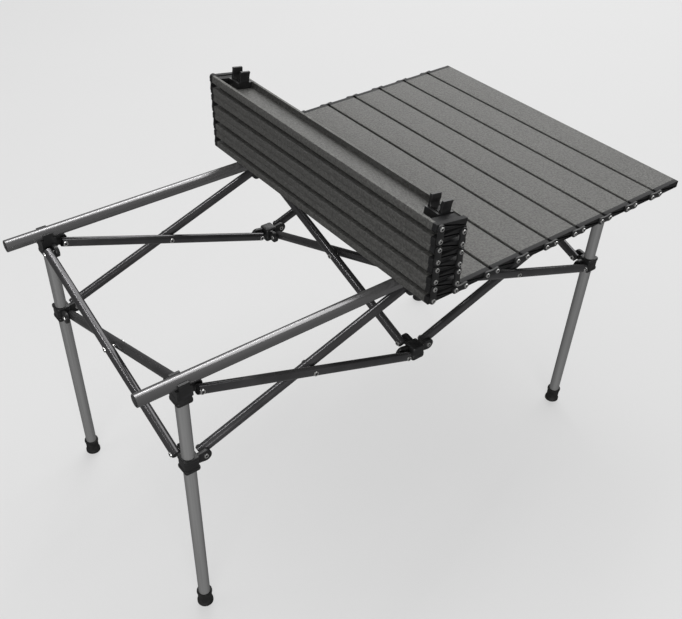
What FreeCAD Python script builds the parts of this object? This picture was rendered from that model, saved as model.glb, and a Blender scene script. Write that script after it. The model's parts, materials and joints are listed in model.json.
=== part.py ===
"""Roll-top folding camping table, set up with half of its slatted top still stacked.

Frame: origin on the floor under the middle of the table's outline, +Z up, +X along the
table's length towards the unrolled half of the top, -Y the front side. The pieces are
made about the middle of the folding frame and moved to the outline's middle at the end.
A scissor frame stands on four legs. Hubs on the legs carry two loose rails, and the top
lies on the rails: slats 1 to 8 are flat on the right, and slats 9 to 16 are still folded
on each other in the middle, joined by two-rivet links at both ends.
"""
import FreeCAD, Part
import math
import os

V = FreeCAD.Vector

# ---- driving dimensions, millimetres ----
# table top
slat_count = 16
flat_slat_count = 8
slat_width = 54.4
slat_gap = 4.6
slat_thickness = 11.0
slat_length = 532.0
top_height = 484.0
rivet_inset = 6.95
stack_step = 12.4
sheet = 1.4
lip_width = 5.0
slat_corner_radius = 1.0
cap_flange = 7.5
cap_plug = 12.0
link_thickness = 3.0
link_radius = 5.7
clip_spacing = 464.0
clip_offset = 8.0
clip_jaw = 17.0
clip_jaw_length = 17.0
clip_base_length = 27.0

# rails
rail_diameter = 18.0
rail_length = 904.0
rail_wall = 1.2

# folding frame
leg_spacing_x = 392.0
leg_spacing_y = 392.0
leg_diameter = 18.0
leg_wall = 1.2
brace_diameter = 14.0
brace_wall = 1.0
brace_overhang = 4.0
upper_pivot_z = 444.0
lower_pivot_z = 322.0
ear_reach = 23.0
ear_radius = 9.0
ear_thickness = 6.0
layer_gap = 0.5
hub_width = 22.8
hub_corner_radius = 4.0
hub_drop = 12.0
hub_rise = 8.0
collar_drop = 14.0
collar_rise = 10.0
saddle_rise = 4.5
saddle_wall = 3.6
jaw_length = 15.0

# feet
foot_height = 28.0
foot_radius = 12.5
foot_neck_radius = 11.0
foot_sole = 4.0

# clearances and rivets
slip = 0.3
running = 0.08
snug = 0.02
brace_rivet_radius = 2.5
link_rivet_radius = 2.0
rivet_head = 1.5

# ---- sizes that follow ----
pitch = slat_width + slat_gap
link_pitch = slat_gap + 2 * rivet_inset
rivet_span = slat_width - 2 * rivet_inset
first_slat_x = (slat_count * pitch - slat_gap) / 2 - slat_width / 2
rivet_z = top_height - slat_thickness / 2
underside_z = top_height - slat_thickness
stack_tilt = math.degrees(math.asin((link_pitch - stack_step) / rivet_span))
rail_radius = rail_diameter / 2
rail_z = underside_z - slip - rail_radius
leg_radius = leg_diameter / 2
brace_radius = brace_diameter / 2
layer = brace_radius + layer_gap
front_y = -leg_spacing_y / 2
back_y = leg_spacing_y / 2
columns = {"left": -leg_spacing_x, "middle": 0.0, "right": leg_spacing_x}
rows = {"front": front_y, "back": back_y}

UNFOLD_AXIS = V(0, -1, 0)
UP = V(0, 0, 1)


def rod(radius, start, end):
    """A solid cylinder from start to end."""
    along = end - start
    return Part.makeCylinder(radius, along.Length, start, along)


def pipe(radius, wall, start, end):
    """A tube with open ends."""
    return rod(radius, start, end).cut(rod(radius - wall, start, end))


def block(low, high):
    """A box between two corners."""
    size = V(*high) - V(*low)
    return Part.makeBox(size.x, size.y, size.z, V(*low))


def turned(points):
    """A solid of revolution about Z from (radius, height) points."""
    wire = Part.makePolygon([V(r, 0, z) for r, z in points + points[:1]])
    return Part.Face(wire).revolve(V(0, 0, 0), UP, 360)


def rounded_plate(width, height, radius, depth):
    """A plate in XZ centred on the origin with round corners, running to +Y."""
    plate = block((-width / 2, 0, -height / 2), (width / 2, depth, height / 2))
    edges = [e for e in plate.Edges if abs(e.tangentAt(e.FirstParameter).y) > 0.9]
    return plate.makeFillet(radius, edges)


def rivet(radius, head_radius, start, end):
    """A tubular rivet: a shank from start to end and a dished head beyond start."""
    outward = (start - end).normalize()
    tip = start + outward * rivet_head
    shank = rod(radius, start, end).fuse(rod(head_radius, start, tip))
    dish = rod(head_radius * 0.5, tip - outward * rivet_head * 0.7, tip)
    return shank.cut(dish).removeSplitter()


# ---- folding frame ----

def ear(side):
    """An ear to +X: a plate beside the hub's middle plane, with its pivot hole."""
    inner = side * layer_gap
    outer = side * (layer_gap + ear_thickness)
    low_y, high_y = min(inner, outer), max(inner, outer)
    arm = block((0, low_y, -ear_radius * 0.8), (ear_reach, high_y, ear_radius * 0.8))
    disc = rod(ear_radius, V(ear_reach, low_y, 0), V(ear_reach, high_y, 0))
    return arm.fuse(disc)


def ear_hole(side):
    """The pivot hole through an ear."""
    reach = side * (layer_gap + ear_thickness + 1)
    return rod(brace_rivet_radius + running, V(ear_reach, 0, 0), V(ear_reach, reach, 0))


def barrel(drop, rise):
    """A hub's body: a square block with round corners and softened ends."""
    half = hub_width / 2
    body = block((-half, -half, -drop), (half, half, rise))
    upright = [e for e in body.Edges if abs(e.tangentAt(e.FirstParameter).z) > 0.9]
    body = body.makeFillet(hub_corner_radius, upright)
    ends = [e for e in body.Edges if e.BoundBox.ZLength < 0.01]
    return body.makeChamfer(1.2, ends)


def with_ears(body, side, headings):
    """The body with one ear for each heading, in degrees from +X."""
    for heading in headings:
        body = body.fuse(ear(side).rotated(V(), UP, heading))
    for heading in headings:
        body = body.cut(ear_hole(side).rotated(V(), UP, heading))
    return body


def saddle():
    """The open U on top of a hub that a rail drops into, along X, and the gap in it."""
    centre = rail_z - upper_pivot_z
    tip = centre + saddle_rise
    half = rail_radius + slip
    reach = hub_width / 2
    jaws = block((-jaw_length / 2, -half - saddle_wall, 0), (jaw_length / 2, half + saddle_wall, tip))
    tips = [e for e in jaws.Edges if abs(e.BoundBox.ZMin - tip) < 0.01 and e.BoundBox.XLength > 1]
    cradle = block((-reach, -reach, 0), (reach, reach, centre - half / 2))
    seat = rod(half, V(-reach, 0, centre), V(reach, 0, centre))
    mouth = block((-reach, -half, centre), (reach, half, tip + 1))
    return jaws.makeFillet(2.0, tips).fuse(cradle), seat.fuse(mouth)


def headings_at(column, row):
    """Where a hub's neighbours lie, in degrees from +X."""
    along = {"left": [0], "middle": [0, 180], "right": [180]}[column]
    across = {"front": 90, "back": 270}[row]
    return along + [across]


def upper_hub(column, row):
    """A moulded hub with a rail saddle, on top of a leg or between two legs."""
    body, gap = saddle()
    body = barrel(hub_drop, hub_rise).fuse(body)
    body = with_ears(body, 1, headings_at(column, row)).cut(gap)
    socket_top = hub_rise - 2
    socket_radius = leg_radius + snug
    body = body.cut(rod(socket_radius, V(0, 0, -hub_drop - 1), V(0, 0, socket_top)))
    body.translate(V(columns[column], rows[row], upper_pivot_z))
    return body.removeSplitter()


def leg_collar(column, row):
    """A moulded collar that slides on a leg."""
    body = with_ears(barrel(collar_drop, collar_rise), -1, headings_at(column, row))
    bore = leg_radius + slip
    body = body.cut(rod(bore, V(0, 0, -collar_drop - 1), V(0, 0, collar_rise + 1)))
    body.translate(V(columns[column], rows[row], lower_pivot_z))
    return body.removeSplitter()


def lower_knuckle(row):
    """The moulded knuckle that joins the lower ends of the middle braces."""
    body = with_ears(barrel(collar_drop, collar_rise), -1, headings_at("middle", row))
    body = body.cut(rod(leg_radius, V(0, 0, -collar_drop - 1), V(0, 0, 0)))
    body.translate(V(0, rows[row], lower_pivot_z))
    return body.removeSplitter()


def leg(column, row):
    """A leg tube, from inside its foot to inside its hub."""
    x, y = columns[column], rows[row]
    top = upper_pivot_z + hub_rise - 2
    return pipe(leg_radius, leg_wall, V(x, y, foot_sole), V(x, y, top))


def foot(column, row):
    """A rubber foot, flared at the floor, with a bead round its mouth."""
    bead = foot_height - 4
    body = turned([(0, 0), (foot_radius - 1, 0), (foot_radius, 1), (foot_radius, 5),
                   (foot_neck_radius, 8), (foot_neck_radius, bead - 1),
                   (foot_neck_radius + 1, bead), (foot_neck_radius + 1, foot_height - 1),
                   (foot_neck_radius, foot_height), (0, foot_height)])
    body = body.cut(rod(leg_radius + snug, V(0, 0, foot_sole), V(0, 0, foot_height + 1)))
    body.translate(V(columns[column], rows[row], 0))
    return body


def brace(start, end, holds_cross_rivet):
    """A brace that falls from the hub at start to the lower joint at end, to its right."""
    along = (end - start).normalize()
    right = along.cross(UP)
    heading = math.degrees(math.atan2(along.y, along.x))
    run = (end - start).Length - 2 * ear_reach
    top = V(ear_reach, 0, upper_pivot_z)
    bottom = V(ear_reach + run, 0, lower_pivot_z)
    middle = (top + bottom) * 0.5
    stretch = (bottom - top).normalize() * brace_overhang
    tube = pipe(brace_radius, brace_wall, top - stretch, bottom + stretch)
    outer = V(0, -brace_radius, 0)
    inner = V(0, layer + layer_gap + ear_thickness, 0)
    across = V(0, 2 * layer + brace_radius, 0)
    solids = []
    for pivot in (top, bottom):
        tube = tube.cut(rod(brace_rivet_radius + snug, pivot + outer * 2, pivot - outer * 2))
        solids += pivot_rivet(pivot + outer, pivot + inner)
    cross_clearance = snug if holds_cross_rivet else running
    tube = tube.cut(rod(brace_rivet_radius + cross_clearance, middle + outer * 2, middle - outer * 2))
    if holds_cross_rivet:
        solids += pivot_rivet(middle + outer, middle + across)
    node = Part.makeCompound([tube] + solids)
    node.rotate(V(), UP, heading)
    node.translate(start + right * layer)
    return node


def pivot_rivet(start, end):
    """A rivet with a head outside the brace and a washer head at its far end."""
    outward = (end - start).normalize()
    body = rivet(brace_rivet_radius, 4.0, start, end)
    return [body.fuse(rod(4.0, end, end + outward * rivet_head)).removeSplitter()]


def rail(row):
    """A loose rail, lying in the three hub saddles of its row."""
    half = rail_length / 2
    return pipe(rail_radius, rail_wall, V(-half, rows[row], rail_z), V(half, rows[row], rail_z))


# ---- table top, made flat and then put where it lies ----

def slat_x(number):
    """The middle of a slat when the whole top is flat."""
    return first_slat_x - (number - 1) * pitch


def slat_channel(number):
    """An extruded slat: a sheet with two flanges turned in at their lower edges."""
    half = slat_length / 2 - cap_flange
    length = 2 * half
    outer = rounded_plate(slat_width, slat_thickness, slat_corner_radius, length)
    cavity = block((-slat_width / 2 + sheet, 0, -slat_thickness / 2 + sheet),
                   (slat_width / 2 - sheet, length, slat_thickness / 2 - sheet))
    mouth_half = slat_width / 2 - lip_width
    mouth = block((-mouth_half, 0, -slat_thickness / 2), (mouth_half, length, 0))
    channel = outer.cut(cavity).cut(mouth)
    channel.translate(V(slat_x(number), -half, rivet_z))
    return channel


def end_cap(number, end):
    """A moulded cap: a flange over the slat's end and a plug inside the channel."""
    inside = slat_length / 2 - cap_flange
    flange = rounded_plate(slat_width, slat_thickness, slat_corner_radius, cap_flange)
    fit = sheet + snug
    plug = block((-slat_width / 2 + fit, -cap_plug, -slat_thickness / 2 + fit),
                 (slat_width / 2 - fit, 0, slat_thickness / 2 - fit))
    cap = flange.fuse(plug)
    for side in (-1, 1):
        x = side * rivet_span / 2
        cap = cap.cut(rod(link_rivet_radius + running, V(x, -cap_plug - 1, 0), V(x, cap_flange + 1, 0)))
    if end < 0:
        cap = cap.mirror(V(), V(0, 1, 0))
    cap.translate(V(slat_x(number), end * inside, rivet_z))
    return cap


def link_plate(number, end):
    """A two-rivet plate from a slat to the next one."""
    middle = slat_x(number) - pitch / 2
    inner = end * (slat_length / 2 + slip)
    outer = inner + end * link_thickness
    low_y, high_y = min(inner, outer), max(inner, outer)
    half = link_pitch / 2
    plate = block((middle - half, low_y, rivet_z - link_radius), (middle + half, high_y, rivet_z + link_radius))
    for x in (middle - half, middle + half):
        plate = plate.fuse(rod(link_radius, V(x, low_y, rivet_z), V(x, high_y, rivet_z)))
    for x in (middle - half, middle + half):
        plate = plate.cut(rod(link_rivet_radius + snug, V(x, low_y - 1, rivet_z), V(x, high_y + 1, rivet_z)))
    return plate.removeSplitter()


def link_rivets(number, end):
    """The two rivets that hold a link plate to its slats' end caps."""
    middle = slat_x(number) - pitch / 2
    outside = end * (slat_length / 2 + slip + link_thickness)
    inside = end * (slat_length / 2 - cap_plug / 2)
    pair = (middle - link_pitch / 2, middle + link_pitch / 2)
    return [rivet(link_rivet_radius, 3.4, V(x, outside, rivet_z), V(x, inside, rivet_z)) for x in pair]


def rail_clip(number, side):
    """A moulded clip in an end slat: a base between the lips and two jaws that grip a rail."""
    inner = rail_radius + 1.5
    wall = 3.0
    flare = 1.5
    root = slat_thickness / 2
    head = root - sheet - snug
    tip = -root - clip_jaw
    outline = [(-inner - wall, 0), (inner + wall, 0), (inner + wall, tip + 3),
               (inner + wall + flare, tip), (inner + flare, tip), (inner, tip + 3),
               (inner, -root), (-inner, -root), (-inner, tip + 3), (-inner - flare, tip),
               (-inner - wall - flare, tip), (-inner - wall, tip + 3)]
    half = clip_jaw_length / 2
    points = [V(-half, y, z) for y, z in outline + outline[:1]]
    jaws = Part.Face(Part.makePolygon(points)).extrude(V(2 * half, 0, 0))
    base_half = clip_base_length / 2
    base = block((-base_half, -inner - wall, -root), (base_half, inner + wall, head))
    clip = base.fuse(jaws).removeSplitter()
    outward = clip_offset if number == 1 else -clip_offset
    clip.translate(V(slat_x(number) + outward, side * clip_spacing / 2, rivet_z))
    return clip


def place_stack():
    """Where each stacked piece goes: (from point, to point, angle about the unfold axis)."""
    moves = {}
    joint = V(slat_x(flat_slat_count + 1) - rivet_span / 2, 0, rivet_z)
    for number in range(flat_slat_count + 2, slat_count + 1):
        link_start = V(slat_x(number - 1) - rivet_span / 2, 0, rivet_z)
        moves["link", number - 1] = (link_start, joint, -90)
        joint = joint + V(0, 0, link_pitch)
        slat_start = V(slat_x(number) + rivet_span / 2, 0, rivet_z)
        angle = -180 - stack_tilt if number % 2 == 0 else 0
        moves["slat", number] = (slat_start, joint, angle)
        far = V(-rivet_span, 0, 0)
        joint = joint + FreeCAD.Rotation(UNFOLD_AXIS, angle).multVec(far)
    return moves


def stacked(shape, move):
    """A piece of the flat top, put where it lies in the stack."""
    start, target, angle = move
    shape.rotate(start, UNFOLD_AXIS, angle)
    shape.translate(target - start)
    return shape


# ---- nodes ----

def frame_nodes():
    nodes = {}
    for row in rows:
        nodes[f"{row}_rail"] = rail(row)
        nodes[f"{row}_middle_hub"] = upper_hub("middle", row)
        nodes[f"{row}_middle_knuckle"] = lower_knuckle(row)
        for column in ("left", "right"):
            name = f"{row}_{column}"
            nodes[f"{name}_leg"] = leg(column, row)
            nodes[f"{name}_foot"] = foot(column, row)
            nodes[f"{name}_hub"] = upper_hub(column, row)
            nodes[f"{name}_collar"] = leg_collar(column, row)
            corner = V(columns[column], rows[row], 0)
            middle = V(0, rows[row], 0)
            nodes[f"{name}_brace_from_corner"] = brace(corner, middle, False)
            nodes[f"{name}_brace_from_middle"] = brace(middle, corner, True)
    for column, x in columns.items():
        front, back = V(x, front_y, 0), V(x, back_y, 0)
        nodes[f"{column}_cross_brace_from_front"] = brace(front, back, True)
        nodes[f"{column}_cross_brace_from_back"] = brace(back, front, False)
    return nodes


def flat_nodes():
    flat = range(1, flat_slat_count + 1)
    capped = range(1, flat_slat_count + 2)
    ends = (-1, 1)
    return {
        "flat_slats": Part.makeCompound([slat_channel(n) for n in flat]),
        "slat_9": slat_channel(flat_slat_count + 1),
        "flat_end_caps": Part.makeCompound([end_cap(n, end) for n in capped for end in ends]),
        "flat_links": Part.makeCompound([link_plate(n, end) for n in flat for end in ends]),
        "flat_link_rivets": Part.makeCompound([r for n in flat for end in ends for r in link_rivets(n, end)]),
        "slat_1_rail_clips": Part.makeCompound([rail_clip(1, side) for side in ends]),
    }


def stack_nodes():
    nodes = {}
    ends = (-1, 1)
    for (kind, number), move in place_stack().items():
        if kind == "slat":
            solids = [slat_channel(number)] + [end_cap(number, end) for end in ends]
            nodes[f"slat_{number}"] = stacked(Part.makeCompound(solids), move)
        else:
            solids = [link_plate(number, end) for end in ends]
            solids += [r for end in ends for r in link_rivets(number, end)]
            nodes[f"link_{number}_{number + 1}"] = stacked(Part.makeCompound(solids), move)
    clips = Part.makeCompound([rail_clip(slat_count, side) for side in ends])
    nodes["slat_16_rail_clips"] = stacked(clips, place_stack()["slat", slat_count])
    return nodes


os.makedirs("parts", exist_ok=True)
all_nodes = {**frame_nodes(), **flat_nodes(), **stack_nodes()}
top_right_end = first_slat_x + slat_width / 2
rail_left_end = -rail_length / 2
outline_middle = V((top_right_end + rail_left_end) / 2, 0, 0)
for name, shape in all_nodes.items():
    shape.translate(-outline_middle)
    shape.exportStep(f"parts/{name}.step")
print(len(all_nodes), "nodes; stack tilt", round(stack_tilt, 2), "degrees")
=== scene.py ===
"""Low roll-top folding table: the camera, the studio and the finished look of every piece.

The table's frame is read from model.glb. Each section below makes one piece or group of
like pieces around it, in metres, with +X towards the unrolled half of the top and -Y the front.
"""

import json
import math

import bmesh
import bpy
from mathutils import Matrix, Vector


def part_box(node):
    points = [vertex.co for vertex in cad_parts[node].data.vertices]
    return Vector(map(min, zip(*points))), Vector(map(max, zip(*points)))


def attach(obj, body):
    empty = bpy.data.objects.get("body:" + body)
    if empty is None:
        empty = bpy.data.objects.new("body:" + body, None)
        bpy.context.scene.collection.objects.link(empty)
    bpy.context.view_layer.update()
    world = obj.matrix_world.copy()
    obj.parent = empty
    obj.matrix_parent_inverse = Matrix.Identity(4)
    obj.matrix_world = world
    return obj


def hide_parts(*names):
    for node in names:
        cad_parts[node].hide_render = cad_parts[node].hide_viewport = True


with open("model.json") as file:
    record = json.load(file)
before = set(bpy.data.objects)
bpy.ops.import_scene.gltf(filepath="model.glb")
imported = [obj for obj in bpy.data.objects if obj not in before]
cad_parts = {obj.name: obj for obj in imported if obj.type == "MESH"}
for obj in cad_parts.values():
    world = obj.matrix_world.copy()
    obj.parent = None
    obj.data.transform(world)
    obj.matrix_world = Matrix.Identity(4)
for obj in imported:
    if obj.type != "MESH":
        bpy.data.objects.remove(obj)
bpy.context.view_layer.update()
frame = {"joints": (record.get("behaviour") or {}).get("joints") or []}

# ---- Camera ----
# It stands at the front left, well above the table, and looks down along the rails towards
# the stacked half of the top. It leans over by a degree, and its lens is shifted up and right.
eye = Vector((-0.7401, -0.9150, 1.1860))
looked_at = Vector((-0.2231, -0.2283, 0.4000))
lean = math.radians(1.04)
camera_data = bpy.data.cameras.new("camera")
camera_data.lens = 46.60
camera_data.shift_x = 0.0406
camera_data.shift_y = 0.0991
camera = bpy.data.objects.new("camera", camera_data)
bpy.context.scene.collection.objects.link(camera)
facing = (looked_at - eye).to_track_quat("-Z", "Y").to_matrix().to_4x4()
camera.matrix_world = Matrix.Translation(eye) @ facing @ Matrix.Rotation(lean, 4, "Z")
bpy.context.scene.camera = camera


# ---- Studio ----
# A pale seamless floor, a wide soft ceiling behind and to the right, a narrow box that draws
# the bright line along each tube, and a fill at the front left. The floor lights nothing.
class Value:
    """A socket of a finish's nodes. Sums and products of values add Math nodes."""

    def __init__(self, finish, socket):
        self.finish, self.socket = finish, socket

    def math(self, operation, first, second):
        return self.finish.node("ShaderNodeMath", {"operation": operation}, {0: first, 1: second})

    def __add__(self, other):
        return self.math("ADD", self, other)

    __radd__ = __add__

    def __sub__(self, other):
        return self.math("SUBTRACT", self, other)

    def __rsub__(self, other):
        return self.math("SUBTRACT", other, self)

    def __mul__(self, other):
        return self.math("MULTIPLY", self, other)

    __rmul__ = __mul__


class Finish:
    """A material with one Principled shader. Its constants are set when it is made."""

    def __init__(self, name, constants):
        self.material = bpy.data.materials.new(name)
        self.material.use_nodes = True
        self.tree = self.material.node_tree
        self.shader = self.tree.nodes["Principled BSDF"]
        for socket, value in constants.items():
            self.shader.inputs[socket].default_value = value

    def node(self, kind, settings, inputs, output=0):
        """Adds a node: its settings are made first, then its sockets are set or linked."""
        made = self.tree.nodes.new(kind)
        for name, setting in settings.items():
            setattr(made, name, setting)
        for name, value in inputs.items():
            self.feed(made.inputs[name], value)
        return Value(self, made.outputs[output])

    def feed(self, socket, value):
        if isinstance(value, Value):
            self.tree.links.new(value.socket, socket)
        else:
            socket.default_value = value

    def place(self, scale=(1, 1, 1)):
        """Object coordinates, stretched by scale."""
        spot = self.node("ShaderNodeTexCoord", {}, {}, "Object")
        return self.node("ShaderNodeMapping", {}, {"Vector": spot, "Scale": scale})

    def noise(self, place, scale, detail=2.0):
        return self.node("ShaderNodeTexNoise", {}, {"Vector": place, "Scale": scale, "Detail": detail})

    def ramp(self, value, low, high):
        """0 below low and 1 above high."""
        limits = {"From Min": low, "From Max": high}
        return self.node("ShaderNodeMapRange", {}, {"Value": value, **limits})

    def mix(self, factor, first, second):
        """A colour between two colours."""
        settings = {"data_type": "RGBA"}
        return self.node("ShaderNodeMix", settings, {0: factor, 6: first, 7: second}, 2)

    def finish(self, colour, roughness, height, depth):
        """Feeds the shader its colour, roughness and relief."""
        self.feed(self.shader.inputs["Base Color"], colour)
        self.feed(self.shader.inputs["Roughness"], roughness)
        bump = self.node("ShaderNodeBump", {}, {"Height": height, "Distance": depth, "Strength": 1.0})
        self.feed(self.shader.inputs["Normal"], bump)
        return self.material


def floor_paper():
    """Backlit paper, so that the table's shadow on it stays faint."""
    glow = {"Emission Color": (1, 1, 1, 1), "Emission Strength": 0.50}
    paper = Finish("floor_paper", {"Specular IOR Level": 0.1, **glow})
    spot = paper.place()
    cloud = paper.noise(spot, 3.0)
    tone = paper.mix(cloud, (0.255, 0.255, 0.255, 1), (0.265, 0.265, 0.265, 1))
    return paper.finish(tone, 0.85 + 0.1 * cloud, paper.noise(spot, 400.0), 0.0001)


floor_shape = bmesh.new()
bmesh.ops.create_grid(floor_shape, x_segments=1, y_segments=1, size=9.0)
floor_data = bpy.data.meshes.new("floor")
floor_shape.to_mesh(floor_data)
floor_shape.free()
floor_data.materials.append(floor_paper())
floor = bpy.data.objects.new("floor", floor_data)
bpy.context.scene.collection.objects.link(floor)


def soft_box(name, place, aim, size, power):
    data = bpy.data.lights.new(name, "AREA")
    data.shape = "RECTANGLE"
    data.size, data.size_y = size
    data.energy = power
    lamp = bpy.data.objects.new(name, data)
    bpy.context.scene.collection.objects.link(lamp)
    turn = (Vector(aim) - Vector(place)).to_track_quat("-Z", "Y").to_matrix().to_4x4()
    lamp.matrix_world = Matrix.Translation(place) @ turn


soft_box("ceiling_box", (2.6, 1.7, 3.6), (0.3, 0, 0.3), (5.0, 6.0), 212)
soft_box("tube_light", (-0.3, 0.75, 2.3), (0, 0, 0.4), (2.8, 0.10), 15)
soft_box("front_box", (-2.2, -3.1, 1.4), (0, 0, 0.3), (3.0, 1.6), 92)
floor.visible_diffuse = False
floor.visible_glossy = False
world = bpy.data.worlds.new("studio_air")
world.use_nodes = True
world.node_tree.nodes["Background"].inputs["Color"].default_value = (1, 1, 1, 1)
world.node_tree.nodes["Background"].inputs["Strength"].default_value = 0.17
bpy.context.scene.world = world
bpy.context.scene.view_settings.view_transform = "Standard"


# ---- Slats ----
# Sixteen aluminium extrusions, open underneath, with their lower edges turned in. A coarse
# grey powder coat covers them. Eight lie flat, and the rest follow their rivets' pivots.
mm = 0.001
slat_count = 16
table_body = "table_top_body"
sheet = 1.4 * mm
lip = 5 * mm
corner_radius = 1.1 * mm
slat_low, slat_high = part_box("slat_9")
slat_width = slat_high.x - slat_low.x
slat_thickness = slat_high.z - slat_low.z
channel_half = (slat_high.y - slat_low.y) / 2
pivots = {joint["name"]: Vector(joint["pos_m"]) for joint in frame["joints"] if "pos_m" in joint}
stack_step = pivots["link_10_11_swing"] - pivots["slat_10_swing"]
rivet_span = stack_step.length
stack_tilt = math.atan2(-stack_step.z, stack_step.x)
flat_low, flat_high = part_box("flat_slats")
flat_count = 8
pitch = (flat_high.x - flat_low.x - slat_width) / (flat_count - 1)
rivet_z = pivots["top_unfold"].z


def slat_place(number):
    """Where a slat's near rivet is, with the slat's own turn. A slat runs to -X from it."""
    if number <= flat_count + 1:
        x = pivots["top_unfold"].x + rivet_span + (flat_count + 1 - number) * pitch
        return Matrix.Translation((x, 0, rivet_z))
    turn = math.pi + stack_tilt if number % 2 == 0 else 0
    return Matrix.Translation(pivots[f"slat_{number}_swing"]) @ Matrix.Rotation(turn, 4, "Y")


def slat_body(number):
    return table_body if number <= flat_count + 1 else f"slat_{number}_body"


def add_piece(name, shape, coats, body, slot, *stands_for, sharp=40):
    """Makes a piece from a bmesh, in place, which rides on a body and stands for CAD nodes."""
    data = bpy.data.meshes.new(name)
    shape.to_mesh(data)
    shape.free()
    data.shade_smooth()
    data.set_sharp_from_angle(angle=math.radians(sharp))
    for coat in coats:
        data.materials.append(coat)
    piece = bpy.data.objects.new(name, data)
    bpy.context.scene.collection.objects.link(piece)
    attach(piece, body)
    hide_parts(*stands_for)


def line_of(shape, points, closed=False):
    """Joins points by edges and gives back the edges."""
    verts = [shape.verts.new(point) for point in points]
    ends = verts[1:] + verts[:1] if closed else verts[1:]
    return [shape.edges.new(pair) for pair in zip(verts, ends)]


def pull(shape, geometry, along):
    """Extrudes edges or faces along a vector and gives back what the extrusion made."""
    if isinstance(geometry[0], bmesh.types.BMFace):
        made = bmesh.ops.extrude_face_region(shape, geom=geometry)["geom"]
    else:
        made = bmesh.ops.extrude_edge_only(shape, edges=geometry)["geom"]
    verts = [part for part in made if isinstance(part, bmesh.types.BMVert)]
    bmesh.ops.translate(shape, verts=verts, vec=along)
    return made


def soften(shape, edges, radius, segments):
    bmesh.ops.bevel(shape, geom=edges, offset=radius, segments=segments, profile=0.5,
                    affect="EDGES", material=-1, clamp_overlap=True)


def powder_coat():
    coat = Finish("grey_powder_coat", {"Metallic": 0.3, "Specular IOR Level": 0.4})
    spot = coat.place()
    pebbles = coat.noise(spot, 300.0, 3.0)
    fleck = coat.ramp(coat.noise(spot, 900.0), 0.45, 0.75)
    cloud = coat.noise(spot, 9.0)
    dark, light = (0.078, 0.077, 0.073, 1), (0.155, 0.154, 0.146, 1)
    tone = coat.mix(coat.ramp(pebbles, 0.35, 0.65), dark, light)
    tone = coat.mix(0.25 * fleck, tone, (0.25, 0.25, 0.24, 1))
    tone = coat.mix(0.12 * cloud, tone, (0.10, 0.10, 0.10, 1))
    return coat.finish(tone, 0.40 + 0.14 * pebbles + 0.05 * cloud, pebbles + 0.3 * fleck, 0.0012)


slat_coat = powder_coat()
for number in range(1, slat_count + 1):
    shape = bmesh.new()
    right, top = slat_width / 2, slat_thickness / 2
    outline = [(right - lip, -top), (right, -top), (right, top),
               (-right, top), (-right, -top), (lip - right, -top)]
    edges = line_of(shape, [(x, -channel_half, z) for x, z in outline])
    corners = list(shape.verts)[1:5]
    bmesh.ops.bevel(shape, geom=corners, offset=corner_radius, segments=3, profile=0.5,
                    affect="VERTICES", material=-1)
    pull(shape, list(shape.edges), (0, 2 * channel_half, 0))
    bmesh.ops.recalc_face_normals(shape, faces=shape.faces)
    top_face = max(shape.faces, key=lambda face: face.calc_center_median().z)
    if top_face.normal.z < 0:
        bmesh.ops.reverse_faces(shape, faces=shape.faces)
    bmesh.ops.solidify(shape, geom=shape.faces[:], thickness=sheet)
    middle = Matrix.Translation((-rivet_span / 2, 0, 0))
    bmesh.ops.transform(shape, matrix=slat_place(number) @ middle, verts=shape.verts)
    stands_for = "flat_slats" if number <= flat_count else f"slat_{number}"
    add_piece(f"slat_{number}_channel", shape, [slat_coat], slat_body(number), "slat", stands_for)


# ---- End caps ----
# A black moulded cap closes each end of each slat. Its flange covers the slat's end and has
# a shallow recess, and its plug is pressed into the channel and holds the link rivets.
def black_plastic(name, shade, rough, shine=0.45):
    """Moulded black plastic: fine spark-eroded grain, and faint marks from handling."""
    plastic = Finish(name, {"Specular IOR Level": shine})
    spot = plastic.place()
    grain = plastic.noise(spot, 900.0, 3.0)
    scuff = plastic.ramp(plastic.noise(plastic.place((60, 60, 260)), 1.0, 4.0), 0.5, 0.8)
    clean, worn = (shade, shade, shade * 1.03, 1), (shade * 2, shade * 2, shade * 2.05, 1)
    tone = plastic.mix(scuff, clean, worn)
    return plastic.finish(tone, rough + 0.1 * grain + 0.08 * scuff, grain, 0.0001)


def slab(shape, low, high):
    """Adds a box between two corners and gives back its vertices."""
    low, high = Vector(low), Vector(high)
    fit = Matrix.Translation((low + high) / 2) @ Matrix.Diagonal((high - low).to_4d())
    return bmesh.ops.create_cube(shape, size=1.0, matrix=fit)["verts"]


def edges_along(verts, axis):
    """The edges among these vertices that run along an axis, 0 for X to 2 for Z."""
    edges = {edge for vert in verts for edge in vert.link_edges}
    runs = {edge: (edge.verts[0].co - edge.verts[1].co).normalized() for edge in edges}
    return [edge for edge in edges if abs(runs[edge][axis]) > 0.99]


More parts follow.
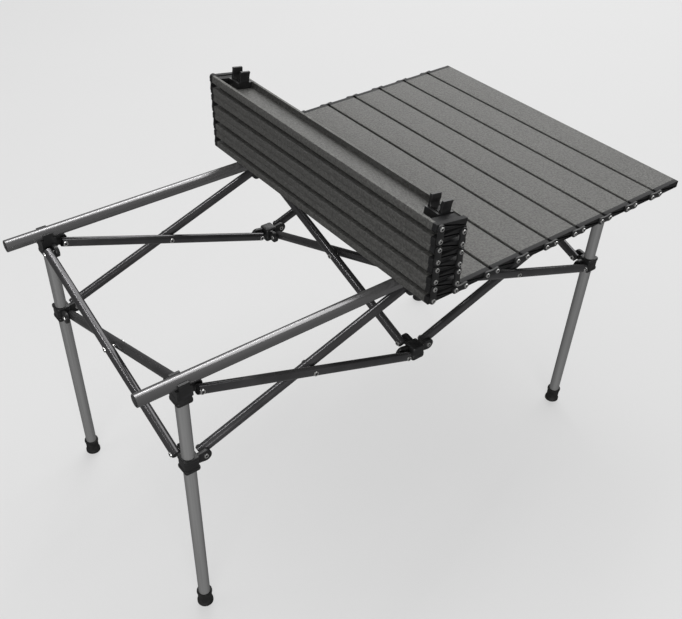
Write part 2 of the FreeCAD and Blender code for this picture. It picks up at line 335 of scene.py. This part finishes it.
cap_plastic = black_plastic("cap_plastic", 0.016, 0.5, 0.2)
flange = 7.5 * mm
plug_length = 12 * mm
rim_width = 1.3 * mm
recess_depth = 0.8 * mm
for number in range(1, slat_count + 1):
    shape = bmesh.new()
    for end in (-1, 1):
        right, top = slat_width / 2, slat_thickness / 2
        inside = end * channel_half
        outside = end * (channel_half + flange)
        verts = slab(shape, (-right, min(inside, outside), -top), (right, max(inside, outside), top))
        soften(shape, edges_along(verts, 1), corner_radius, 3)
        face = max(shape.faces, key=lambda face: end * face.calc_center_median().y)
        rim = list(face.edges)
        bmesh.ops.inset_region(shape, faces=[face], thickness=rim_width, depth=0, use_even_offset=True)
        bmesh.ops.inset_region(shape, faces=[face], thickness=0.3 * mm, depth=-recess_depth,
                               use_even_offset=True)
        soften(shape, rim, 0.4 * mm, 2)
        fit = sheet + 0.05 * mm
        deep = end * (channel_half - plug_length)
        near, far = min(inside, deep), max(inside, deep)
        slab(shape, (fit - right, near, fit - top), (right - fit, far, top - fit))
    bmesh.ops.recalc_face_normals(shape, faces=shape.faces)
    bmesh.ops.transform(shape, matrix=slat_place(number) @ middle, verts=shape.verts)
    stands_for = "flat_end_caps" if number <= flat_count + 1 else f"slat_{number}"
    name = f"slat_{number}_end_caps"
    add_piece(name, shape, [cap_plastic], slat_body(number), "cap_plastic", stands_for)


# ---- Links ----
# A waisted black plate joins each slat to the next one, at both ends of the gap. Each is
# held by two bright tubular rivets, which are hollow and rolled over at the rim. The shade in
# their hollows is painted on as a near-black coat.
def link_place(number):
    """The middle of the link after a slat, and its turn: upright in the stack."""
    if number <= flat_count:
        return slat_place(number) @ Matrix.Translation((-rivet_span - link_pitch / 2, 0, 0))
    joint = "top_unfold" if number == flat_count + 1 else f"link_{number}_{number + 1}_swing"
    lower = pivots[joint]
    upper = pivots[f"slat_{number + 1}_swing"]
    return Matrix.Translation((lower + upper) / 2) @ Matrix.Rotation(math.pi / 2, 4, "Y")


def lathe(profile, steps, start, along, closed=False):
    """Turns (radius, distance) points about the line from start in the direction along."""
    shape = bmesh.new()
    edges = line_of(shape, [(radius, 0, far) for radius, far in profile], closed)
    bmesh.ops.spin(shape, geom=list(shape.verts) + edges, cent=(0, 0, 0), axis=(0, 0, 1),
                   angle=2 * math.pi, steps=steps, use_merge=True, use_duplicate=False)
    bmesh.ops.remove_doubles(shape, verts=shape.verts, dist=1e-6)
    bmesh.ops.recalc_face_normals(shape, faces=shape.faces)
    turn = Vector(along).to_track_quat("Z", "X").to_matrix().to_4x4()
    bmesh.ops.transform(shape, matrix=Matrix.Translation(start) @ turn, verts=shape.verts)
    return shape


def merge(shape, other):
    """Puts another bmesh's mesh into this one and frees the other."""
    data = bpy.data.meshes.new("part")
    other.to_mesh(data)
    other.free()
    shape.from_mesh(data)
    bpy.data.meshes.remove(data)


def rivet(head, shank, length, start, along, steps):
    """A tubular rivet: a rolled head at start, which the length runs away from."""
    rise = 1.5 * mm
    profile = [(0, 0.6 * mm), (head * 0.42, 0.4 * mm), (head * 0.5, -rise * 0.85), (head * 0.68, -rise),
               (head * 0.9, -rise * 0.8), (head, 0), (shank, 0), (shank, length), (0, length)]
    shape = lathe(profile, steps, (0, 0, 0), (0, 0, 1))
    # The dish's inner faces take the second coat, a near-black painted shade for the rivet's hole.
    for face in shape.faces:
        centre = face.calc_center_median()
        face.material_index = int(centre.xy.length < head * 0.48 and centre.z < rise)
    turn = Vector(along).to_track_quat("Z", "X").to_matrix().to_4x4()
    bmesh.ops.transform(shape, matrix=Matrix.Translation(start) @ turn, verts=shape.verts)
    return shape


def bright_steel():
    steel = Finish("rivet_steel", {"Metallic": 1.0})
    spot = steel.place()
    wear = steel.noise(spot, 700.0)
    tone = steel.mix(wear, (0.80, 0.80, 0.79, 1), (0.95, 0.95, 0.93, 1))
    return steel.finish(tone, 0.22 + 0.2 * wear, wear, 0.00005)


# Painted shade: a near-black coat on each rivet's shallow dish stands in for the shade in its hole. Its
# speckle only varies it.
def rivet_hollow_painted_shade():
    hollow = Finish("rivet_hollow_painted_shade", {"Specular IOR Level": 0.2})
    shade_speckle = hollow.noise(hollow.place(), 900.0)
    tone = hollow.mix(shade_speckle, (0.01, 0.01, 0.01, 1), (0.03, 0.03, 0.03, 1))
    return hollow.finish(tone, 0.5 + 0.3 * shade_speckle, shade_speckle, 0.0001)


link_plastic = black_plastic("link_plastic", 0.013, 0.34)
rivet_coats = [bright_steel(), rivet_hollow_painted_shade()]
link_pitch = pitch - rivet_span
link_radius = 5.7 * mm
link_thickness = 3 * mm
link_gap = 0.3 * mm
waist = 1.1 * mm
rivet_head = 3.4 * mm
rivet_shank = 2 * mm
for number in range(1, slat_count):
    plates, rivets = bmesh.new(), bmesh.new()
    for end in (-1, 1):
        near = channel_half + flange + link_gap
        plate = bmesh.new()
        flat_turn = Matrix.Rotation(math.pi / 2, 4, "X") @ Matrix.Rotation(math.pi / 24, 4, "Z")
        bmesh.ops.create_circle(plate, cap_ends=True, radius=link_radius, segments=24, matrix=flat_turn)
        for vert in plate.verts:
            vert.co.x += math.copysign(link_pitch / 2, vert.co.x)
        long_edges = [edge for edge in plate.edges if edge.calc_length() > link_pitch / 2]
        cut = bmesh.ops.subdivide_edges(plate, edges=long_edges, cuts=5)["geom_inner"]
        for vert in [part for part in cut if isinstance(part, bmesh.types.BMVert)]:
            pinch = math.cos(vert.co.x / link_pitch * math.pi) ** 2
            vert.co.z -= math.copysign(waist * pinch, vert.co.z)
        pull(plate, list(plate.faces), (0, end * link_thickness, 0))
        bmesh.ops.translate(plate, verts=plate.verts, vec=(0, end * near, 0))
        bmesh.ops.recalc_face_normals(plate, faces=plate.faces)
        outer = end * (near + link_thickness)
        rim = [edge for edge in plate.edges
               if all(abs(vert.co.y - outer) < 1e-6 for vert in edge.verts)]
        soften(plate, rim, 0.6 * mm, 2)
        merge(plates, plate)
        for x in (-link_pitch / 2, link_pitch / 2):
            length = link_thickness + flange + plug_length / 2
            merge(rivets, rivet(rivet_head, rivet_shank, length, (x, outer, 0), (0, -end, 0), 14))
    for shape in (plates, rivets):
        bmesh.ops.transform(shape, matrix=link_place(number), verts=shape.verts)
    stacked = number > flat_count
    link = f"link_{number}_{number + 1}"
    body = f"{link}_body" if stacked else table_body
    plate_node = link if stacked else "flat_links"
    rivet_node = link if stacked else "flat_link_rivets"
    add_piece(f"{link}_plates", plates, [link_plastic], body, "link_plastic", plate_node)
    add_piece(f"{link}_rivets", rivets, rivet_coats, body, "rivet_steel", rivet_node)


# ---- Rail clips ----
# Two black clips are pressed into the channel of the first slat and of the last. Each has a
# base between the slat's lips and two springy jaws shaped for a tube as thick as a rail.
rows = {"front": -1, "back": 1}
rail_low, rail_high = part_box("front_rail")
rail_radius = (rail_high.z - rail_low.z) / 2
clip_plastic = black_plastic("clip_plastic", 0.012, 0.3)
clip_low, clip_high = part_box("slat_1_rail_clips")
clip_x = (clip_low.x + clip_high.x) / 2 - (flat_high.x - slat_width / 2)
clip_base = (clip_high.x - clip_low.x) / 2
jaw_half = 8.5 * mm
seat = rail_radius - 0.4 * mm
jaw_tip = clip_low.z - rivet_z
jaw_wide = rail_radius + 3.8 * mm
clip_width = rail_radius + 4.5 * mm
clip_reach = clip_high.y - clip_width - 1.5 * mm


def snap_jaws():
    """Two thick jaws that open downwards, with a round seat between them and flared lips."""
    opening = math.radians(118)
    seat_z = -slat_thickness / 2 - seat + 3 * mm
    angles = [opening * (2 * step / 24 - 1) for step in range(25)]
    arc = [(seat * math.sin(angle), seat_z + seat * math.cos(angle)) for angle in angles]
    lip_z = jaw_tip + 0.3 * mm
    half = [(jaw_wide, -slat_thickness / 2), (jaw_wide - 0.5 * mm, seat_z),
            (jaw_wide - 0.2 * mm, jaw_tip + 4 * mm), (jaw_wide + 0.7 * mm, jaw_tip + 1.2 * mm),
            (jaw_wide, lip_z), (seat + 0.4 * mm, lip_z)]
    outline = [(-y, z) for y, z in half] + arc + half[::-1]
    jaws = bmesh.new()
    jaws.faces.new([jaws.verts.new((-jaw_half, y, z)) for y, z in outline])
    pull(jaws, list(jaws.faces), (2 * jaw_half, 0, 0))
    bmesh.ops.recalc_face_normals(jaws, faces=jaws.faces)
    sides = [face for face in jaws.faces if abs(face.normal.x) > 0.9]
    soften(jaws, list({edge for face in sides for edge in face.edges}), 0.35 * mm, 1)
    return jaws


for number in (1, slat_count):
    for row, side in rows.items():
        shape = snap_jaws()
        under, head = -slat_thickness / 2, slat_thickness / 2 - sheet
        base = slab(shape, (-clip_base, -clip_width, under), (clip_base, clip_width, head))
        soften(shape, edges_along(base, 2), 2 * mm, 3)
        offset = clip_x if number == 1 else -clip_x
        place = slat_place(number) @ middle @ Matrix.Translation((offset, side * clip_reach, 0))
        bmesh.ops.transform(shape, matrix=place, verts=shape.verts)
        name, node = f"slat_{number}_{row}_rail_clip", f"slat_{number}_rail_clips"
        add_piece(name, shape, [clip_plastic], slat_body(number), "clip_plastic", node)


# ---- Rails ----
# Two round steel tubes in gunmetal lacquer carry the top. They are loose in the hubs' jaws,
# and their ends are cut square and left open.
def tube(start, end, radius, wall, steps):
    """A tube with its sharp ends broken."""
    run = Vector(end) - Vector(start)
    length, nick = run.length, 0.3 * mm
    bore = radius - wall
    profile = [(bore, nick), (bore + nick, 0), (radius - nick, 0), (radius, nick),
               (radius, length - nick), (radius - nick, length), (bore + nick, length),
               (bore, length - nick)]
    return lathe(profile, steps, start, run, closed=True)


def lacquer(name, dark, light, metallic, rough, drawn):
    """Lacquer on drawn tube: faint streaks along the tube and a little orange peel."""
    coat = Finish(name, {"Metallic": metallic, "Specular IOR Level": 0.5})
    streaks = coat.noise(coat.place(drawn), 1.0)
    peel = coat.noise(coat.place(), 40.0, 0.0)
    dust = coat.noise(coat.place(), 14.0)
    tone = coat.mix(coat.ramp(streaks, 0.3, 0.7), (*dark, 1), (*light, 1))
    return coat.finish(tone, rough + 0.04 * dust + 0.04 * streaks, peel, 0.000002)


rail_coat = lacquer("rail_lacquer", (0.22, 0.217, 0.22), (0.27, 0.267, 0.27), 0.75, 0.19,
                    (3, 120, 120))
rail_wall = 1.2 * mm
for row, side in rows.items():
    low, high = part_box(f"{row}_rail")
    y, z = (low.y + high.y) / 2, (low.z + high.z) / 2
    shape = tube((low.x, y, z), (high.x, y, z), rail_radius, rail_wall, 56)
    add_piece(f"{row}_rail_tube", shape, [rail_coat], f"{row}_rail_body", "rail_tube", f"{row}_rail")


# ---- Legs ----
# Four steel tubes in satin grey lacquer. Each is pressed into its foot and into its hub.
leg_coat = lacquer("leg_lacquer", (0.24, 0.24, 0.24), (0.29, 0.29, 0.289), 0.15, 0.42,
                   (300, 300, 6))
leg_wall = 1.2 * mm
corners = [(row, column) for row in rows for column in ("left", "right")]
for row, column in corners:
    low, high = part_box(f"{row}_{column}_leg")
    x, y = (low.x + high.x) / 2, (low.y + high.y) / 2
    shape = tube((x, y, low.z), (x, y, high.z), (high.x - low.x) / 2, leg_wall, 40)
    body = f"{row}_{column}_leg_body"
    add_piece(f"{row}_{column}_leg_tube", shape, [leg_coat], body, "leg_tube", f"{row}_{column}_leg")


# ---- Feet ----
# Black rubber boots pushed over the legs' ends. Each has a thick tread at the floor, a
# waist, and a bead round its mouth.
def matt_rubber():
    rubber = Finish("foot_rubber", {"Specular IOR Level": 0.3})
    spot = rubber.place()
    dust = rubber.ramp(rubber.noise(spot, 120.0, 5.0), 0.45, 0.8)
    grain = rubber.noise(spot, 700.0)
    tone = rubber.mix(dust, (0.013, 0.013, 0.013, 1), (0.035, 0.034, 0.033, 1))
    return rubber.finish(tone, 0.6 + 0.2 * dust, grain, 0.0002)


rubber = matt_rubber()
for row, column in corners:
    low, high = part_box(f"{row}_{column}_foot")
    x, y = (low.x + high.x) / 2, (low.y + high.y) / 2
    wide = (high.x - low.x) / 2
    neck, tall = wide - 1.5 * mm, high.z
    bore = 9.02 * mm
    sole = [(0, 0.4 * mm), (wide - 4 * mm, 0.4 * mm), (wide - 3 * mm, 0), (wide - 1 * mm, 0.2 * mm)]
    tread = [(wide, 1.2 * mm), (wide, 4.6 * mm), (wide - 0.6 * mm, 6 * mm)]
    stem = [(neck, 8 * mm), (neck - 0.2 * mm, 13 * mm), (neck, tall - 5.5 * mm)]
    bead = [(neck + 0.8 * mm, tall - 4 * mm), (neck + 1 * mm, tall - 2.5 * mm),
            (neck + 0.7 * mm, tall - 0.6 * mm), (neck - 0.4 * mm, tall)]
    mouth = [(bore, tall - 0.4 * mm), (bore, 4 * mm), (0, 4 * mm)]
    shape = lathe(sole + tread + stem + bead + mouth, 40, (x, y, 0), (0, 0, 1))
    body = f"{row}_{column}_leg_body"
    node = f"{row}_{column}_foot"
    add_piece(f"{row}_{column}_rubber_foot", shape, [rubber], body, "foot_rubber", node)


# ---- Hubs ----
# Six black glass-filled nylon mouldings on top of the frame. Each has a square body with
# round corners, ears for the braces, and two jaws that a rail is pressed between.
hub_plastic = black_plastic("hub_nylon", 0.014, 0.33)
upper_z = pivots["frame_fold"].z
lower_z = pivots["front_left_collar_pivot"].z
leg_box = {corner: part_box(f"{corner[0]}_{corner[1]}_leg") for corner in corners}
hub_x = {column: sum(corner.x for corner in leg_box["front", column]) / 2
         for column in ("left", "right")}
hub_x["middle"] = (hub_x["left"] + hub_x["right"]) / 2
hub_y = {row: sum(corner.y for corner in leg_box[row, "left"]) / 2 for row in rows}
ear_reach = abs(pivots["frame_fold"].x - hub_x["middle"])
ear_radius = 9 * mm
ear_thickness = 6 * mm
layer_gap = 0.5 * mm
hub_half = 11.4 * mm
hub_corner = 4 * mm
skirt = 0.5 * mm
hub_bottom = -12 * mm
post_top = 6 * mm
cradle_top = 15 * mm
jaw_top = 24 * mm
rail_z = (rail_low.z + rail_high.z) / 2 - upper_z


def post(shape, half, low, high, edge):
    """Adds a square block with round corners, from low to high, with softened ends."""
    verts = slab(shape, (-half, -half, low), (half, half, high))
    made = bmesh.ops.bevel(shape, geom=edges_along(verts, 2), offset=hub_corner, segments=6,
                           profile=0.5, affect="EDGES", material=-1)
    ends = {edge for face in made["faces"] for edge in face.edges}
    caps = {face for edge in ends for face in edge.link_faces if abs(face.normal.z) > 0.9}
    rims = list({edge for face in caps for edge in face.edges})
    soften(shape, rims, edge, 2)


def ear(shape, heading, side):
    """Adds an ear that points along heading and carries a brace's pivot."""
    plate = bmesh.new()
    flat_turn = Matrix.Rotation(math.pi / 2, 4, "X") @ Matrix.Rotation(math.pi / 28, 4, "Z")
    bmesh.ops.create_circle(plate, cap_ends=True, radius=ear_radius, segments=28, matrix=flat_turn)
    for vert in plate.verts:
        if vert.co.x < -0.2 * ear_radius:
            rise = min(abs(vert.co.z), 0.8 * ear_radius)
            vert.co.x, vert.co.z = -ear_reach / 2, math.copysign(rise, vert.co.z)
    bmesh.ops.remove_doubles(plate, verts=plate.verts, dist=1e-5)
    pull(plate, list(plate.faces), (0, side * ear_thickness, 0))
    bmesh.ops.translate(plate, verts=plate.verts, vec=(ear_reach, side * layer_gap, 0))
    bmesh.ops.recalc_face_normals(plate, faces=plate.faces)
    rims = [edge for edge in plate.edges if abs(edge.verts[0].co.y - edge.verts[1].co.y) < 1e-6]
    soften(plate, rims, 0.7 * mm, 2)
    bmesh.ops.rotate(plate, verts=plate.verts, cent=(0, 0, 0), matrix=Matrix.Rotation(heading, 3, "Z"))
    merge(shape, plate)


def saddle_slice(shape, half_length, half_width, top):
    """Adds a block with the rail's round seat sunk in its top, running along X."""
    block = bmesh.new()
    seat = rail_radius + 0.3 * mm
    mouth = min(top - rail_z, 0)
    reach = math.acos(-mouth / seat)
    first = block.verts.new((-half_length, 0, rail_z - seat))
    bmesh.ops.rotate(block, verts=[first], cent=(0, 0, rail_z), matrix=Matrix.Rotation(reach, 3, "X"))
    bmesh.ops.spin(block, geom=[first], cent=(0, 0, rail_z), axis=(1, 0, 0), angle=-2 * reach, steps=20)
    arc = sorted(block.verts, key=lambda vert: -vert.co.y)
    ends = [(half_width, top), (half_width, 0), (-half_width, 0), (-half_width, top)]
    if mouth == 0:
        ends = [(seat, top)] + ends + [(-seat, top)]
    if arc[0].co.y < arc[-1].co.y:
        arc.reverse()
    rest = [block.verts.new((-half_length, y, z)) for y, z in ends]
    block.faces.new(arc + rest[::-1])
    pull(block, list(block.faces), (2 * half_length, 0, 0))
    bmesh.ops.recalc_face_normals(block, faces=block.faces)
    merge(shape, block)


def headings_at(row, column):
    """The directions of a hub's neighbours."""
    along = {"left": [0], "middle": [0, math.pi], "right": [math.pi]}[column]
    return along + [math.pi / 2 if row == "front" else -math.pi / 2]


def hub_body(row, column, upper):
    if column == "middle":
        return f"{row}_middle_hub_body" if upper else f"{row}_middle_knuckle_body"
    return f"{row}_{column}_leg_body" if upper else f"{row}_{column}_collar_body"


places = [(row, column) for row in rows for column in hub_x]
for row, column in places:
    shape = bmesh.new()
    post(shape, hub_half, hub_bottom + 1 * mm, post_top, 1.4 * mm)
    post(shape, hub_half + skirt, hub_bottom, hub_bottom + 6 * mm, 1.4 * mm)
    saddle_slice(shape, hub_half - 0.1 * mm, rail_radius + 3.6 * mm, cradle_top)
    saddle_slice(shape, 7.5 * mm, rail_radius + 3.9 * mm, jaw_top)
    for heading in headings_at(row, column):
        ear(shape, heading, 1)
    bmesh.ops.translate(shape, verts=shape.verts, vec=(hub_x[column], hub_y[row], upper_z))
    node = f"{row}_{column}_hub"
    body = hub_body(row, column, True)
    add_piece(f"{node}_moulding", shape, [hub_plastic], body, "hub_plastic", node)


# ---- Collars and middle knuckles ----
# Black nylon like the hubs. The four collars slide on the legs as the frame folds. The two
# knuckles, with domed tops, hold the lower ends of the middle braces and carry no leg.
collar_bottom = -14 * mm
collar_top = 10 * mm
for row, column in places:
    shape = bmesh.new()
    if column == "middle":
        post(shape, hub_half - 0.3 * mm, collar_bottom + 2 * mm, collar_top - 1 * mm, 3 * mm)
        post(shape, hub_half + 0.2 * mm, collar_bottom, collar_bottom + 10 * mm, 2.6 * mm)
    else:
        post(shape, hub_half - 0.5 * mm, collar_bottom + 1 * mm, collar_top - 1 * mm, 1 * mm)
        post(shape, hub_half + 0.2 * mm, collar_top - 6 * mm, collar_top, 1.4 * mm)
        post(shape, hub_half + skirt, collar_bottom, collar_bottom + 6 * mm, 1.6 * mm)
    for heading in headings_at(row, column):
        ear(shape, heading, -1)
    bmesh.ops.translate(shape, verts=shape.verts, vec=(hub_x[column], hub_y[row], lower_z))
    node = f"{row}_middle_knuckle" if column == "middle" else f"{row}_{column}_collar"
    body = hub_body(row, column, False)
    add_piece(f"{node}_moulding", shape, [hub_plastic], body, "hub_plastic", node)


# ---- Braces ----
# Fourteen thinner steel tubes in dark gloss lacquer, crossed in pairs. A bright rivet holds
# each end to its ear and each pair at the crossing, and a black plug closes each end.
brace_coat = lacquer("brace_lacquer", (0.085, 0.084, 0.087), (0.115, 0.113, 0.117), 0.65, 0.17,
                     (25, 25, 25))
plug_plastic = black_plastic("plug_plastic", 0.012, 0.4)
brace_radius = 7 * mm
brace_wall = 1 * mm
brace_overhang = 4 * mm
shank = 2.5 * mm
layer = brace_radius + layer_gap


def add_brace(node, body, from_hub, to_hub, holds_cross):
    """A brace from one hub's upper pivot down to another hub's lower pivot, to its right."""
    start = Vector((hub_x[from_hub[1]], hub_y[from_hub[0]], 0))
    end = Vector((hub_x[to_hub[1]], hub_y[to_hub[0]], 0))
    ahead = (end - start).normalized()
    right = ahead.cross(Vector((0, 0, 1)))
    top = start + ahead * ear_reach + right * layer + Vector((0, 0, upper_z))
    bottom = end - ahead * ear_reach + right * layer + Vector((0, 0, lower_z))
    past = (bottom - top).normalized() * brace_overhang
    shape = tube(top - past, bottom + past, brace_radius, brace_wall, 32)
    add_piece(f"{node}_tube", shape, [brace_coat], body, "brace_tube", node)
    plugs, rivets = bmesh.new(), bmesh.new()
    for tip, inward in ((top - past, past), (bottom + past, -past)):
        fit = brace_radius - 1.05 * mm
        profile = [(0, 1 * mm), (brace_radius - 2.4 * mm, 1 * mm), (brace_radius - 1.8 * mm, 0.4 * mm),
                   (fit, 0.6 * mm), (fit, 5 * mm), (0, 5 * mm)]
        merge(plugs, lathe(profile, 24, tip, inward))
    add_piece(f"{node}_plugs", plugs, [plug_plastic], body, "hub_plastic")
    reach = 2 * brace_radius + 2 * layer_gap + ear_thickness
    out = right * (brace_radius - 0.3 * mm)
    behind_ear = right * (layer + layer_gap + ear_thickness)
    behind_pair = right * (3 * layer - 0.8 * mm)
    for pivot in (top, bottom):
        merge(rivets, rivet(4 * mm, shank, reach - brace_radius, pivot + out, -right, 20))
        merge(rivets, rivet(3.6 * mm, shank, 2 * mm, pivot - behind_ear, right, 20))
    if holds_cross:
        crossing = (top + bottom) / 2
        merge(rivets, rivet(4 * mm, shank, 3 * layer, crossing + out, -right, 20))
        merge(rivets, rivet(4 * mm, shank, 2 * mm, crossing - behind_pair, right, 20))
    add_piece(f"{node}_rivets", rivets, rivet_coats, body, "rivet_steel")


for row, column in corners:
    corner, inner, name = (row, column), (row, "middle"), f"{row}_{column}_brace"
    add_brace(f"{name}_from_corner", f"{name}_corner_body", corner, inner, False)
    add_brace(f"{name}_from_middle", f"{name}_middle_body", inner, corner, True)
for column in hub_x:
    near, far = ("front", column), ("back", column)
    add_brace(f"{column}_cross_brace_from_front", f"{column}_cross_front_body", near, far, True)
    add_brace(f"{column}_cross_brace_from_back", f"{column}_cross_back_body", far, near, False)
